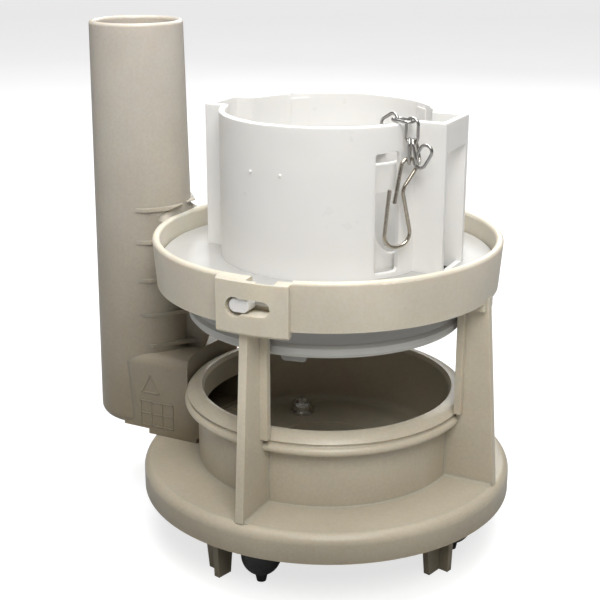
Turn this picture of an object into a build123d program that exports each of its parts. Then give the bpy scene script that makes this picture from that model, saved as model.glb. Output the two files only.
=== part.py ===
"""Cistern flush valve: seat cup on a round flange, guide ring on three legs, side overflow pipe,
twist-in guide cage, lifting float with a disc seal, and a short pull chain with a snap hook.

Millimetres. +Z is up, the valve axis is X = Y = 0 and Z = 0 is the underside of the base flange.
The overflow pipe stands on the -X side. Angles are degrees about Z from +X.
"""

from math import cos, radians, sin
import os

from build123d import *

# Base flange, a shallow upturned dish
base_radius = 69.0
base_height = 10.5
base_wall = 2.5
base_edge_radius = 3.5

# Seat cup
cup_radius = 48.3
cup_wall = 2.5
cup_floor_top = 11.5
cup_corner_radius = 3.0
rim_height = 38.7
rim_inner_radius = 46.7
lip_radius = 52.2
bead_bottom = 31.5
bead_radius = 1.5
bead_inset = 0.6
groove_depth = 0.9
groove_height = 0.5
lip_shoulder_height = 1.5
lip_arc_inset = 1.8
lip_arc_drop = 0.95
seat_land = 1.0
seat_chamfer = 1.5
port_side_margin = 2.0
port_end_margin = 3.0
port_rise = 0.5

# Outlet through the cup floor
outlet_bore_radius = 22.5
outlet_wall = 3.0
outlet_bottom = -16.0
outlet_chamfer = 0.8

# Overflow pipe and the duct to the cup
pipe_x = -79.5
pipe_bottom = 12.5
pipe_top = 168.0
pipe_top_radius = 17.4
pipe_bottom_radius = 19.6
pipe_bore_radius = 15.0
pipe_floor = 3.0
pipe_corner_radius = 3.5
pipe_port_width = 22.0
duct_half_width = 19.1
duct_wall = 2.5
duct_top = 43.0
duct_keel_x = -66.0
duct_corner_radius = 4.0
duct_overlap = 4.0
duct_pipe_bite = 0.7
web_thickness = 3.0
web_start = 12.0
web_inner_x = -52.0
web_foot_chamfer = (1.5, 4.0)
web_top = 100.0
web_rib_heights = (45.0, 57.5, 71.5, 86.5, 99.0)
web_rib_thickness = 1.4
rib_start = 8.0
rib_shoulder = 12.5
rib_tip = 23.0
rib_end = 25.0
rib_side_inset = 2.4
rib_shoulder_inset = 4.4
rib_tip_thickness = 1.0
saddle_pipe_half_width = 12.5
saddle_ring_half_width = 16.5
saddle_flat_half_width = 7.0
saddle_ring_bite = 1.0
saddle_pipe_bite = 1.0

# Guide ring and its bayonet bosses
ring_bottom = 79.2
ring_top = 96.5
ring_radius_bottom = 61.8
ring_radius_top = 63.0
ring_bore_radius = 60.3
ledge_bore_radius = 53.0
ledge_top = 86.2
ledge_thickness = 2.5
boss_radius = 65.6
boss_bottom = 77.5
boss_angle = -86.3
boss_half_angle = 11.3
boss_chamfer = 0.8
boss_top_chamfer = 1.0
boss_top_gap = 0.1
ring_bite = 0.5
slot_bottom = 84.5
slot_top = 89.8
slot_start_angle = -94.2
slot_end_angle = -80.4
pocket_offset = 0.6
pocket_drop = 0.3
pocket_extra_radius = 0.7
notch_start_angle = -84.5
notch_end_angle = -74.6
entry_start_angle = -87.6
entry_end_angle = -79.4
entry_wall = 0.7
notch_depth = 1.0

# Bayonet lugs on the cage
lug_angle = -90.3
lug_half_width = 3.5
lug_reach = 64.6
lug_bottom = 84.9
lug_top = 89.4
lug_corner_radius = 2.1

# Legs: a radial web with an inner flange, at these angles
leg_names = {"front_leg": -90.0, "right_leg": 0.0, "rear_leg": 90.0}
leg_thickness = 3.0
leg_foot_radius = 67.3
leg_top_radius = 62.4
leg_flange_radius = 52.2
leg_flange_thickness = 2.5
leg_flange_width = 8.5
leg_gusset_height = 1.0
leg_gusset_drop = 2.0
leg_gusset_reach = 0.4
leg_heel_drop = 4.0
leg_flange_overlap = 2.0

# Feet and rubber plugs under the flange
foot_angles = (-104.0, -14.0, 76.0, 166.0)
foot_radius = 56.0
foot_bottom = -19.5
foot_top_width = 12.0
foot_bottom_width = 6.0
foot_wall = 2.4
foot_draft = 2.0
plug_radius = 7.2
plug_circle = 52.0
plug_side_bottom = -9.0
plug_dome_depth = 7.0
plug_dome_shoulder = (0.76, 0.66)
plug_chamfer = 1.0
nipple_length = 3.0
nipple_top_radius = 2.3
nipple_tip_radius = 1.7

# Three fixing studs with nuts in the cup floor, a little thinner where they pass through it
stud_circle = 34.7
stud_angles = (132.4, 12.4, -107.6)
stud_radius = 2.4
stud_neck_radius = 2.3
stud_neck_bottom = 4.5
stud_bottom = -13.5
stud_top = 17.5
stud_chamfer = 0.5
stud_hole_clearance = 0.3
gasket_hole_clearance = 0.4
washer_radius = 5.2
washer_thickness = 1.0
nut_radius = 4.3
nut_height = 3.4
nut_dome_radius = 1.6

# Flat rubber gasket under the flange
gasket_inner_radius = 27.0
gasket_outer_radius = 44.0
gasket_thickness = 4.0
gasket_chamfer = 1.0

# White guide cage
cage_plate_radius = 60.0
cage_plate_bottom = 86.5
cage_plate_top = 89.0
cage_plate_chamfer = 0.6
cage_radius = 38.4
cage_wall = 2.0
cage_top = 141.0
cage_top_fillet = 0.5
channel_root = 20.0
left_channel_x = -44.0
left_channel_half_width = 10.5
right_channel_x = 47.8
right_channel_low_y = -10.0
right_channel_high_y = 11.5
channel_band_bottom = 131.0
window_start_angle = -40.5
window_end_angle = -26.0
window_bottom = 90.6
window_top = 132.0
window_corner_radius = 1.6
rail_angles = (47.0, 133.0, 227.0)
rail_width = 7.0
rail_height = 0.6
pip_radius = 0.6
pip_angles = (-106.5, -88.5)
pip_height = 124.5

# Float and disc, drawn lifted: the disc is this far above the seat
seat_gap = 0.3
disc_lift = 27.2
lip_seal_radius = 50.7
lip_seal_thickness = 4.6
disc_radius = 49.7
disc_height = 9.2
disc_wall = 2.2
float_radius = 34.0
float_wall = 2.0
float_top = 127.3
float_top_fillet = 0.6
porthole_angles = (-20.0, 160.0)
porthole_bottom = 95.5
porthole_top = 117.5
porthole_half_width = 9.7
fin_half_thickness = 1.6
fin_reach = 41.5
fin_foot = 83.0
fin_top = 121.0
fin_root = 1.0
fin_tip_chamfer = 5.0
fin_foot_chamfer = 3.0
fin_shoulder = 1.5
retainer_radius = 45.5
retainer_bore = 29.0
retainer_thickness = 2.0
tab_angles = (-80.0, 40.0, 160.0)
tab_half_width = 4.5
tab_radius = 39.0
tab_thickness = 2.4
tab_drop = 5.1
tab_corner_radius = 1.4
seal_bore_radius = 36.0
seal_clamp_thickness = 2.4
pin_radius = 0.6
pin_half_length = 6.0
pin_reach = 23.95
bridge_drop = 6.0
bridge_width = 8.0
bridge_thickness = 3.0
bridge_lug_thickness = 2.0
bridge_lug_share = 0.6

# Chain links and the hook
wire = 1.1
link_length = 9.4
link_width = 5.4
link_gap = 0.15
chain_angle = -24.0
slack_slope = 28.2
run_slopes = (30.0, 35.0, 46.0, 76.0, 90.0)
rim_link_start = 33.9
rim_link_clearance = 0.3
first_joint_offset = (0.5, 0.3)
joint_play = 0.05
slack_links = 4
hook_wire = 1.35
hook_angle = -35.0
drop_link_angle = -4.0
hook_link_angle = 106.0
side_by_side = 0.7
side_rise = 0.35
eye_gap = 0.45
spare_tilt = 14.0
spare_link_angle = 96.0
end_link_angle = -5.0
end_link_rise = 60.0
# Corners of the hook's wire, across and up from the eye it hangs by
hook_corners = (
    (-5.4, -14.6),
    (-2.6, 0.35),
    (5.0, -0.7),
    (-2.4, -10.2),
    (1.8, -28.9),
    (-9.6, -30.3),
    (-7.4, -9.8),
)
hook_bend_radii = (2.8, 2.6, 4.0, 4.4, 4.4)

# Cutting shapes run this far past what they cut
cut_past = 5.0

# Derived sizes
rim_lift = rim_height + seat_gap
seal_bottom = rim_lift + disc_lift
disc_bottom = seal_bottom + lip_seal_thickness
disc_top = disc_bottom + disc_height
link_end = (link_length - wire) / 2
link_bend_radius = (link_width - wire) / 2
link_pitch = 2 * link_end - wire - link_gap
joint_span = link_pitch - joint_play


def polar(radius, angle, height=0.0):
    """Point at a radius and angle about the valve axis."""
    return Vector(radius * cos(radians(angle)), radius * sin(radians(angle)), height)


def radial_plane(angle):
    """Upright plane through the valve axis: local X is the radius, local Y is up."""
    return Plane(origin=(0, 0, 0), x_dir=polar(1, angle), z_dir=polar(1, angle - 90))


def facing_plane(angle, radius=0.0):
    """Upright plane across a radius, seen from outside: local X runs anticlockwise, local Y is up."""
    return Plane(origin=polar(radius, angle), x_dir=polar(1, angle + 90), z_dir=polar(1, angle))


def save(part, label):
    """Label a finished piece and write its STEP file."""
    part.label = label
    export_step(part, f"parts/{label}.step")


os.makedirs("parts", exist_ok=True)

# ---------------------------------------------------------------- natural polypropylene body

with BuildPart() as seat_cup:
    with BuildSketch(Plane.XZ):
        with BuildLine():
            cup_inside = cup_radius - cup_wall
            bead_top = bead_bottom + 2 * bead_radius
            bead_root = lip_radius - bead_inset
            groove_radius = lip_radius - groove_depth
            floor_bottom = cup_floor_top - cup_wall
            Line((outlet_bore_radius, cup_floor_top), (outlet_bore_radius, floor_bottom))
            Line((outlet_bore_radius, floor_bottom), (cup_radius, floor_bottom))
            Line((cup_radius, floor_bottom), (cup_radius, bead_bottom))
            Line((cup_radius, bead_bottom), (bead_root, bead_bottom))
            ThreePointArc(
                (bead_root, bead_bottom),
                (bead_root + bead_radius, bead_bottom + bead_radius),
                (bead_root, bead_top),
            )
            Line((bead_root, bead_top), (groove_radius, bead_top + groove_height))
            Line((groove_radius, bead_top + groove_height), (lip_radius, bead_top + lip_shoulder_height))
            ThreePointArc(
                (lip_radius, bead_top + lip_shoulder_height),
                (lip_radius - lip_arc_inset, rim_height - lip_arc_drop),
                (rim_inner_radius + seat_land, rim_height),
            )
            Line((rim_inner_radius + seat_land, rim_height), (rim_inner_radius, rim_height))
            Line((rim_inner_radius, rim_height), (cup_inside, rim_height - seat_chamfer))
            Line((cup_inside, rim_height - seat_chamfer), (cup_inside, cup_floor_top + cup_corner_radius))
            RadiusArc(
                (cup_inside, cup_floor_top + cup_corner_radius),
                (cup_inside - cup_corner_radius, cup_floor_top),
                cup_corner_radius,
            )
            Line((cup_inside - cup_corner_radius, cup_floor_top), (outlet_bore_radius, cup_floor_top))
        make_face()
    revolve(axis=Axis.Z)
    # Overflow port through the cup wall, facing the duct
    port_width = 2 * (duct_half_width - duct_wall - port_side_margin)
    port_height = bead_bottom - cup_floor_top - 2 * port_end_margin
    with BuildSketch(Plane.YZ.offset(-cup_radius - 1)):
        with Locations((0, (cup_floor_top + bead_bottom) / 2 + port_rise)):
            Rectangle(port_width, port_height)
    extrude(amount=cup_wall + 2 * cut_past, mode=Mode.SUBTRACT)
    # Clearance holes for the three studs
    with BuildSketch(Plane.XY.offset(floor_bottom)):
        for angle in stud_angles:
            with Locations(polar(stud_circle, angle)):
                Circle(stud_neck_radius + stud_hole_clearance)
    extrude(amount=cup_wall, mode=Mode.SUBTRACT)
save(seat_cup.part, "seat_cup")

with BuildPart() as outlet_spigot:
    with BuildSketch(Plane.XY.offset(outlet_bottom)):
        Circle(outlet_bore_radius + outlet_wall)
        Circle(outlet_bore_radius, mode=Mode.SUBTRACT)
    extrude(amount=floor_bottom - outlet_bottom)
    spigot_end = outlet_spigot.edges().filter_by(GeomType.CIRCLE).group_by(Axis.Z)[0]
    chamfer(spigot_end.sort_by(SortBy.LENGTH)[-1], outlet_chamfer)
save(outlet_spigot.part, "outlet_spigot")

with BuildPart() as base_flange:
    with BuildSketch(Plane.XY.offset(base_height - base_wall)):
        Circle(base_radius - base_edge_radius)
        Circle(cup_radius, mode=Mode.SUBTRACT)
    extrude(amount=base_wall)
save(base_flange.part, "base_flange")

with BuildPart() as flange_skirt:
    with BuildSketch(Plane.XZ):
        with BuildLine():
            deck_radius = base_radius - base_edge_radius
            skirt_inside = base_radius - base_wall
            Line((deck_radius, base_height - base_wall), (skirt_inside, base_height - base_wall))
            Line((skirt_inside, base_height - base_wall), (skirt_inside, 0))
            Line((skirt_inside, 0), (base_radius, 0))
            Line((base_radius, 0), (base_radius, base_height - base_edge_radius))
            RadiusArc(
                (base_radius, base_height - base_edge_radius),
                (deck_radius, base_height),
                -base_edge_radius,
            )
            Line((deck_radius, base_height), (deck_radius, base_height - base_wall))
        make_face()
    revolve(axis=Axis.Z)
save(flange_skirt.part, "flange_skirt")

pipe_axis = Axis((pipe_x, 0, 0), (0, 0, 1))
with BuildPart() as overflow_pipe:
    with BuildSketch(Plane.XZ):
        with BuildLine():
            corner = pipe_corner_radius
            bore_side = pipe_x + pipe_bore_radius
            lip_centre = pipe_top - (pipe_top_radius - pipe_bore_radius) / 2
            lip_peak = pipe_x + (pipe_top_radius + pipe_bore_radius) / 2
            Line((pipe_x, pipe_bottom), (pipe_x + pipe_bottom_radius - corner, pipe_bottom))
            RadiusArc(
                (pipe_x + pipe_bottom_radius - corner, pipe_bottom),
                (pipe_x + pipe_bottom_radius, pipe_bottom + corner),
                -corner,
            )
            Line((pipe_x + pipe_bottom_radius, pipe_bottom + corner), (pipe_x + pipe_top_radius, lip_centre))
            ThreePointArc(
                (pipe_x + pipe_top_radius, lip_centre),
                (lip_peak, pipe_top),
                (bore_side, lip_centre),
            )
            Line((bore_side, lip_centre), (bore_side, pipe_bottom + pipe_floor))
            Line((bore_side, pipe_bottom + pipe_floor), (pipe_x, pipe_bottom + pipe_floor))
            Line((pipe_x, pipe_bottom + pipe_floor), (pipe_x, pipe_bottom))
        make_face()
    revolve(axis=pipe_axis)
    # Opening into the duct
    with BuildSketch(Plane.YZ.offset(pipe_x)):
        with Locations((0, (pipe_bottom + pipe_floor + duct_top - duct_wall) / 2)):
            Rectangle(pipe_port_width, duct_top - duct_wall - pipe_bottom - pipe_floor)
    extrude(amount=pipe_bottom_radius + cut_past, mode=Mode.SUBTRACT)
save(overflow_pipe.part, "overflow_pipe")

with BuildPart() as overflow_duct:
    duct_length = -pipe_x - cup_radius + duct_overlap
    with BuildSketch(Plane.XY.offset(pipe_bottom)):
        with Locations((pipe_x + duct_length / 2, 0)):
            Rectangle(duct_length, 2 * duct_half_width)
    extrude(amount=duct_top - pipe_bottom)
    fillet(overflow_duct.edges().filter_by(Axis.X).group_by(Axis.Z)[-1], duct_corner_radius)
    # Keel that stands on the flange
    with BuildSketch(Plane.XY.offset(base_height)):
        with Locations(((duct_keel_x - cup_radius) / 2, 0)):
            Rectangle(-duct_keel_x - cup_radius + duct_overlap, 2 * duct_half_width)
    extrude(amount=pipe_bottom - base_height)
    # Passage from the pipe to the cup
    with BuildSketch(Plane.YZ.offset(pipe_x)):
        with Locations((0, (pipe_bottom + pipe_floor + bead_bottom) / 2)):
            Rectangle(2 * (duct_half_width - duct_wall), bead_bottom - pipe_bottom - pipe_floor - 2)
    extrude(amount=duct_length, mode=Mode.SUBTRACT)
    # Room for the pipe, the cup wall and the rim bead above it
    with BuildSketch(Plane.XY.offset(pipe_bottom)):
        with Locations((pipe_x, 0)):
            Circle(pipe_bottom_radius - duct_pipe_bite)
    extrude(amount=duct_top, mode=Mode.SUBTRACT)
    add(overflow_pipe.part, mode=Mode.SUBTRACT)
    with BuildSketch(Plane.XY.offset(base_height)):
        Circle(cup_radius)
    extrude(amount=duct_top, mode=Mode.SUBTRACT)
    with BuildSketch(Plane.XY.offset(bead_bottom)):
        Circle(bead_root + bead_radius)
    extrude(amount=duct_top, mode=Mode.SUBTRACT)
save(overflow_duct.part, "overflow_duct")

with BuildPart() as guide_ring:
    with BuildSketch(Plane.XZ):
        with BuildLine():
            ledge_bottom = ledge_top - ledge_thickness
            ring_wall = ring_radius_top - ring_bore_radius
            Line((ring_radius_bottom, ring_bottom), (ring_radius_top, ring_top - ring_wall / 2))
            ThreePointArc(
                (ring_radius_top, ring_top - ring_wall / 2),
                (ring_radius_top - ring_wall / 2, ring_top),
                (ring_bore_radius, ring_top - ring_wall / 2),
            )
            Line((ring_bore_radius, ring_top - ring_wall / 2), (ring_bore_radius, ledge_top))
            Line((ring_bore_radius, ledge_top), (ledge_bore_radius, ledge_top))
            Line((ledge_bore_radius, ledge_top), (ledge_bore_radius, ledge_bottom))
            Line((ledge_bore_radius, ledge_bottom), (ring_bore_radius, ledge_bottom))
            Line((ring_bore_radius, ledge_bottom), (ring_bore_radius, ring_bottom))
            Line((ring_bore_radius, ring_bottom), (ring_radius_bottom, ring_bottom))
        make_face()
    revolve(axis=Axis.Z)
    for turn in (0, 180):
        # Boss: a thicker stretch of the ring wall
        with BuildSketch(radial_plane(boss_angle - boss_half_angle + turn)):
            with BuildLine():
                Polyline(
                    (ring_bore_radius + ring_bite, boss_bottom),
                    (boss_radius - boss_chamfer, boss_bottom),
                    (boss_radius, boss_bottom + boss_chamfer),
                    (boss_radius, ring_top - boss_top_chamfer),
                    (boss_radius - boss_top_chamfer, ring_top - boss_top_gap),
                    (ring_bore_radius + ring_bite, ring_top - boss_top_gap),
                    close=True,
                )
            make_face()
        revolve(axis=Axis.Z, revolution_arc=2 * boss_half_angle)
        # Slot for the lug, with a rounder pocket at its locked end
        slot_middle = (slot_start_angle + slot_end_angle) / 2
        slot_width = boss_radius * radians(slot_end_angle - slot_start_angle)
        slot_height = slot_top - slot_bottom
        with BuildSketch(facing_plane(slot_middle + turn, ring_bore_radius - 2)):
            with Locations((0, (slot_top + slot_bottom) / 2)):
                SlotOverall(slot_width, slot_height)
            pocket_across = pocket_offset - (slot_width - slot_height) / 2
            with Locations((pocket_across, (slot_top + slot_bottom) / 2 - pocket_drop)):
                Circle(slot_height / 2 + pocket_extra_radius)
        extrude(amount=boss_radius - ring_bore_radius + 4, mode=Mode.SUBTRACT)
        # Entry groove from the top down to the slot, inside a thin outer wall
        with BuildSketch(radial_plane(entry_start_angle + turn)):
            with BuildLine():
                Polyline(
                    (ring_bore_radius - 1, slot_bottom + slot_height / 2),
                    (boss_radius - entry_wall, slot_bottom + slot_height / 2),
                    (boss_radius - entry_wall, ring_top + 1),
                    (ring_bore_radius - 1, ring_top + 1),
                    close=True,
                )
            make_face()
        revolve(axis=Axis.Z, revolution_arc=entry_end_angle - entry_start_angle, mode=Mode.SUBTRACT)
        # Low stretch of the top edge beside the groove
        notch_middle = (notch_start_angle + notch_end_angle) / 2
        with BuildSketch(facing_plane(notch_middle + turn, ring_bore_radius - 1)):
            with Locations((0, ring_top)):
                Rectangle(boss_radius * radians(notch_end_angle - notch_start_angle), 2 * notch_depth)
        extrude(amount=boss_radius - ring_bore_radius + 3, mode=Mode.SUBTRACT)
    add(overflow_pipe.part, mode=Mode.SUBTRACT)
save(guide_ring.part, "guide_ring")

for leg_name, leg_angle in leg_names.items():
    with BuildPart() as leg:
        # Radial web, standing on the flange and ending in a gusset up the ring's side
        with BuildSketch(radial_plane(leg_angle)):
            with BuildLine():
                Polyline(
                    (cup_radius - 1, base_height),
                    (leg_foot_radius, base_height),
                    (leg_top_radius, ring_bottom - leg_gusset_drop),
                    (ring_radius_bottom + leg_gusset_reach, ring_bottom + leg_gusset_height),
                    (ring_bore_radius + ring_bite, ring_bottom + leg_gusset_height),
                    (ring_bore_radius + ring_bite, ring_bottom),
                    (leg_flange_radius, ring_bottom),
                    (leg_flange_radius, rim_height - leg_heel_drop),
                    (cup_radius - 1, bead_bottom),
                    close=True,
                )
            make_face()
        extrude(amount=leg_thickness / 2, both=True)
        # Inner flange, from the rim up to the ring
        with BuildSketch(radial_plane(leg_angle)):
            flange_foot = rim_height - leg_flange_overlap
            with Locations((leg_flange_radius + leg_flange_thickness / 2, (flange_foot + ring_bottom) / 2)):
                Rectangle(leg_flange_thickness, ring_bottom - flange_foot)
        extrude(amount=leg_flange_width / 2, both=True)
        # Top plate that joins the flange to the ring wall
        with BuildSketch(radial_plane(leg_angle)):
            with Locations(((leg_flange_radius + ring_radius_bottom) / 2, ring_bottom - leg_thickness / 2)):
                Rectangle(ring_radius_bottom - leg_flange_radius, leg_thickness)
        extrude(amount=leg_flange_width / 2, both=True)
        with BuildSketch(Plane.XY.offset(base_height)):
            Circle(cup_radius)
        extrude(amount=bead_bottom, mode=Mode.SUBTRACT)
        add(seat_cup.part, mode=Mode.SUBTRACT)
        add(guide_ring.part, mode=Mode.SUBTRACT)
        add(flange_skirt.part, mode=Mode.SUBTRACT)
    largest_leg_solid = leg.part.solids().sort_by(SortBy.VOLUME)[-1]
    save(largest_leg_solid, leg_name)

with BuildPart() as pipe_web:
    with BuildSketch(Plane.XZ):
        with BuildLine():
            Polyline(
                (pipe_x + web_start, duct_top),
                (web_inner_x - web_foot_chamfer[0], duct_top),
                (web_inner_x, duct_top + web_foot_chamfer[1]),
                (web_inner_x, ring_bottom),
                (pipe_x + web_start, ring_bottom),
                close=True,
            )
        make_face()
    extrude(amount=web_thickness / 2, both=True)
    add(overflow_pipe.part, mode=Mode.SUBTRACT)
save(pipe_web.part.solids().sort_by(SortBy.VOLUME)[-1], "pipe_web")

with BuildPart() as ring_saddle:
    # Fills the corner between the pipe and the ring
    with BuildSketch(Plane.XY.offset(ring_bottom)):
        with BuildLine():
            Polyline(
                (pipe_x + web_start, -saddle_pipe_half_width),
                (saddle_ring_bite - ring_radius_bottom, -saddle_ring_half_width),
                (ring_wall - ring_bore_radius, 0),
                (saddle_ring_bite - ring_radius_bottom, saddle_ring_half_width),
                (pipe_x + web_start, saddle_pipe_half_width),
                close=True,
            )
        make_face()
    extrude(amount=web_top - ring_bottom)
    # Its top slopes down to the ring on both sides
    for side in (-1, 1):
        with BuildSketch(Plane.YZ.offset(pipe_x)):
            with BuildLine():
                Polyline(
                    (side * saddle_flat_half_width, web_top),
                    (side * saddle_ring_half_width, ring_top - ring_wall / 2),
                    (side * 2 * saddle_ring_half_width, ring_top - ring_wall / 2),
                    (side * 2 * saddle_ring_half_width, web_top + cut_past),
                    (side * saddle_flat_half_width, web_top + cut_past),
                    close=True,
                )
            make_face()
        extrude(amount=pipe_top_radius + 2 * cut_past, mode=Mode.SUBTRACT)
    with BuildSketch(Plane.XY.offset(ring_bottom)):
        Circle(ring_bore_radius)
    extrude(amount=pipe_top, mode=Mode.SUBTRACT)
    with BuildSketch(Plane.XY.offset(ring_bottom)):
        with Locations((pipe_x, 0)):
            Circle(pipe_top_radius - saddle_pipe_bite)
    extrude(amount=pipe_top, mode=Mode.SUBTRACT)
    add(overflow_pipe.part, mode=Mode.SUBTRACT)
    add(guide_ring.part, mode=Mode.SUBTRACT)
save(ring_saddle.part, "ring_saddle")

with BuildPart() as web_ribs:
    for height in web_rib_heights:
        for side in (-1, 1):
            with BuildSketch(Plane.XY.offset(height)):
                with BuildLine():
                    Polyline(
                        (pipe_x + rib_start, side * (pipe_bottom_radius - rib_side_inset)),
                        (pipe_x + rib_shoulder, side * (pipe_bottom_radius - rib_shoulder_inset)),
                        (pipe_x + rib_tip, side * (web_thickness / 2 + rib_tip_thickness)),
                        (pipe_x + rib_end, side * web_thickness / 2),
                        (pipe_x + rib_start, side * web_thickness / 2),
                        close=True,
                    )
                make_face()
            extrude(amount=web_rib_thickness)
    with BuildSketch(Plane.XY.offset(ring_bottom)):
        Circle(ring_bore_radius)
    extrude(amount=pipe_top, mode=Mode.SUBTRACT)
    with BuildSketch(Plane.XY.offset(duct_top)):
        with Locations((pipe_x, 0)):
            Circle(pipe_top_radius - saddle_pipe_bite)
    extrude(amount=pipe_top, mode=Mode.SUBTRACT)
    add(overflow_pipe.part, mode=Mode.SUBTRACT)
    add(ring_saddle.part, mode=Mode.SUBTRACT)
    add(guide_ring.part, mode=Mode.SUBTRACT)
save(web_ribs.part, "web_ribs")

with BuildPart() as stand_feet:
    for angle in foot_angles:
        # Angle section: a radial plate and a plate across it, both narrower at the bottom
        with BuildSketch(radial_plane(angle)):
            with BuildLine():
                Polyline(
                    (foot_radius - foot_top_width / 2, base_height - base_wall),
                    (foot_radius + foot_top_width / 2 - foot_draft, base_height - base_wall),
                    (foot_radius + foot_bottom_width / 2, foot_bottom),
                    (foot_radius - foot_bottom_width / 2, foot_bottom),
                    close=True,
                )
            make_face()
        extrude(amount=foot_wall)
        with BuildSketch(facing_plane(angle, foot_radius - foot_bottom_width / 2)):
            with BuildLine():
                Polyline(
                    (0, base_height - base_wall),
                    (-foot_top_width, base_height - base_wall),
                    (-foot_bottom_width - foot_wall, foot_bottom),
                    (0, foot_bottom),
                    close=True,
                )
            make_face()
        extrude(amount=foot_wall)
save(stand_feet.part, "stand_feet")

# ---------------------------------------------------------------- seals and fixings on the body

with BuildPart() as base_gasket:
    with BuildSketch(Plane.XY.offset(floor_bottom - gasket_thickness)):
        Circle(gasket_outer_radius)
        Circle(gasket_inner_radius, mode=Mode.SUBTRACT)
        for angle in stud_angles:
            with Locations(polar(stud_circle, angle)):
                Circle(stud_neck_radius + gasket_hole_clearance, mode=Mode.SUBTRACT)
    extrude(amount=gasket_thickness)
    gasket_foot = base_gasket.edges().filter_by(GeomType.CIRCLE).group_by(Axis.Z)[0]
    chamfer(gasket_foot.sort_by(SortBy.LENGTH)[-1], gasket_chamfer)
save(base_gasket.part, "base_gasket")

with BuildPart() as rubber_plugs:
    for angle in leg_names.values():
        centre = polar(plug_circle, angle)
        with BuildSketch(Plane(origin=centre, x_dir=polar(1, angle), z_dir=polar(1, angle - 90))):
            with BuildLine():
                dome_bottom = plug_side_bottom - plug_dome_depth
                plug_tip = dome_bottom - nipple_length
                plug_top = base_height - base_wall
                shoulder_across, shoulder_down = plug_dome_shoulder
                Line((0, plug_top), (plug_radius - plug_chamfer, plug_top))
                Line((plug_radius - plug_chamfer, plug_top), (plug_radius, plug_top - plug_chamfer))
                Line((plug_radius, plug_top - plug_chamfer), (plug_radius, plug_side_bottom))
                ThreePointArc(
                    (plug_radius, plug_side_bottom),
                    (plug_radius * shoulder_across, plug_side_bottom - plug_dome_depth * shoulder_down),
                    (nipple_top_radius, dome_bottom),
                )
                Line((nipple_top_radius, dome_bottom), (nipple_tip_radius, plug_tip))
                Line((nipple_tip_radius, plug_tip), (0, plug_tip))
                Line((0, plug_tip), (0, plug_top))
            make_face()
        revolve(axis=Axis((centre.X, centre.Y, 0), (0, 0, 1)))
save(rubber_plugs.part, "rubber_plugs")

with BuildPart() as stud_washers:
    with BuildSketch(Plane.XY.offset(cup_floor_top)):
        for angle in stud_angles:
            with Locations(polar(stud_circle, angle)):
                Circle(washer_radius)
                Circle(stud_neck_radius, mode=Mode.SUBTRACT)
    extrude(amount=washer_thickness)
save(stud_washers.part, "stud_washers")

with BuildPart() as dome_nuts:
    nut_bottom = cup_floor_top + washer_thickness
    with BuildSketch(Plane.XY.offset(nut_bottom)):
        for angle in stud_angles:
            with Locations(polar(stud_circle, angle)):
                Circle(nut_radius)
                Circle(stud_neck_radius, mode=Mode.SUBTRACT)
    extrude(amount=nut_height)
    nut_crowns = dome_nuts.edges().filter_by(GeomType.CIRCLE).group_by(Axis.Z)[-1].group_by(SortBy.LENGTH)[-1]
    fillet(nut_crowns, nut_dome_radius)
save(dome_nuts.part, "dome_nuts")

with BuildPart() as fixing_studs:
    for radius, bottom, top in (
        (stud_radius, stud_bottom, stud_neck_bottom),
        (stud_neck_radius, stud_neck_bottom, stud_top),
    ):
        with BuildSketch(Plane.XY.offset(bottom)):
            for angle in stud_angles:
                with Locations(polar(stud_circle, angle)):
                    Circle(radius)
        extrude(amount=top - bottom)
    stud_rounds = fixing_studs.edges().filter_by(GeomType.CIRCLE).group_by(Axis.Z)
    chamfer(stud_rounds[0] + stud_rounds[-1], stud_chamfer)
save(fixing_studs.part, "fixing_studs")

# ---------------------------------------------------------------- white guide cage

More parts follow.
